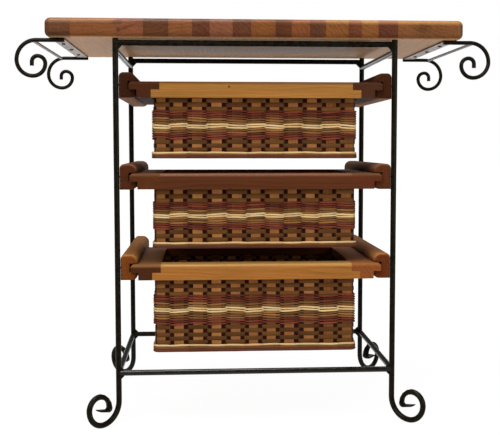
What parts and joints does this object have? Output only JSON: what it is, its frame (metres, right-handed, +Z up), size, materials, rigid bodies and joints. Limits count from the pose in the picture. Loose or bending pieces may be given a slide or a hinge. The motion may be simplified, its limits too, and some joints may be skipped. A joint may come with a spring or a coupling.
{
  "type": "kitchen island",
  "caption": "Kitchen island with a striped hardwood top, a scrolled iron frame, towel bars at both ends and woven basket drawers that slide on grooved wooden runners.",
  "frame": {"origin": "on the floor under the middle of the wooden top", "axes": "+Z up, +X to the right along the top, -Y towards the person who opens the drawers"},
  "size_m": [1.059, 0.5774, 0.9025],
  "materials": {
    "cherry": "oiled",
    "walnut": "oiled",
    "maple": "oiled",
    "runner_wood": "satin varnish",
    "red_rim_wood": "satin varnish",
    "gold_rim_wood": "satin varnish",
    "woven_reed": "woven",
    "rim_reed": "dyed reed",
    "black_iron": "satin black",
    "screw_steel": "blackened"
  },
  "bodies": {
    "frame": {"top_edge_board_left": "cherry", "top_wide_board_left": "cherry", "top_wide_board_right": "cherry", "top_staves_cherry": "cherry", "top_staves_walnut": "walnut", "top_staves_maple": "maple", "front_left_leg": "black_iron", "front_right_leg": "black_iron", "back_left_leg": "black_iron", "back_right_leg": "black_iron", "upper_front_bar": "black_iron", "upper_back_bar": "black_iron", "upper_left_bar": "black_iron", "upper_right_bar": "black_iron", "lower_front_bar": "black_iron", "lower_back_bar": "black_iron", "lower_left_bar": "black_iron", "lower_right_bar": "black_iron", "upper_corner_welds": "black_iron", "lower_corner_welds": "black_iron", "left_towel_front_bracket": "black_iron", "left_towel_back_bracket": "black_iron", "right_towel_front_bracket": "black_iron", "right_towel_back_bracket": "black_iron", "left_towel_plate": "black_iron", "right_towel_plate": "black_iron", "left_towel_rod": "black_iron", "right_towel_rod": "black_iron", "upper_left_runner": "runner_wood", "upper_right_runner": "runner_wood", "middle_left_runner": "runner_wood", "middle_right_runner": "runner_wood", "lower_left_runner": "runner_wood", "lower_right_runner": "runner_wood", "top_studs": "screw_steel", "towel_plate_screws": "screw_steel", "runner_screws": "screw_steel"},
    "upper_drawer": {"upper_left_rail": "red_rim_wood", "upper_right_rail": "red_rim_wood", "upper_front_rail": "gold_rim_wood", "upper_back_rail": "red_rim_wood", "upper_basket": "woven_reed", "upper_base_rim": "rim_reed", "upper_basket_screws": "screw_steel"},
    "middle_drawer": {"middle_left_rail": "red_rim_wood", "middle_right_rail": "red_rim_wood", "middle_front_rail": "red_rim_wood", "middle_back_rail": "red_rim_wood", "middle_basket": "woven_reed", "middle_base_rim": "rim_reed", "middle_basket_screws": "screw_steel"},
    "lower_drawer": {"lower_left_rail": "red_rim_wood", "lower_right_rail": "red_rim_wood", "lower_front_rail": "gold_rim_wood", "lower_back_rail": "red_rim_wood", "lower_basket": "woven_reed", "lower_base_rim": "rim_reed", "lower_basket_screws": "screw_steel"}
  },
  "joints": [
    {"name": "upper_drawer_slide", "type": "slide", "parent": "frame", "child": "upper_drawer", "axis": [0, -1, 0], "range_m": [0, 0.28]},
    {"name": "middle_drawer_slide", "type": "slide", "parent": "frame", "child": "middle_drawer", "axis": [0, -1, 0], "range_m": [0, 0.28]},
    {"name": "lower_drawer_slide", "type": "slide", "parent": "frame", "child": "lower_drawer", "axis": [0, -1, 0], "range_m": [0, 0.28]}
  ]
}
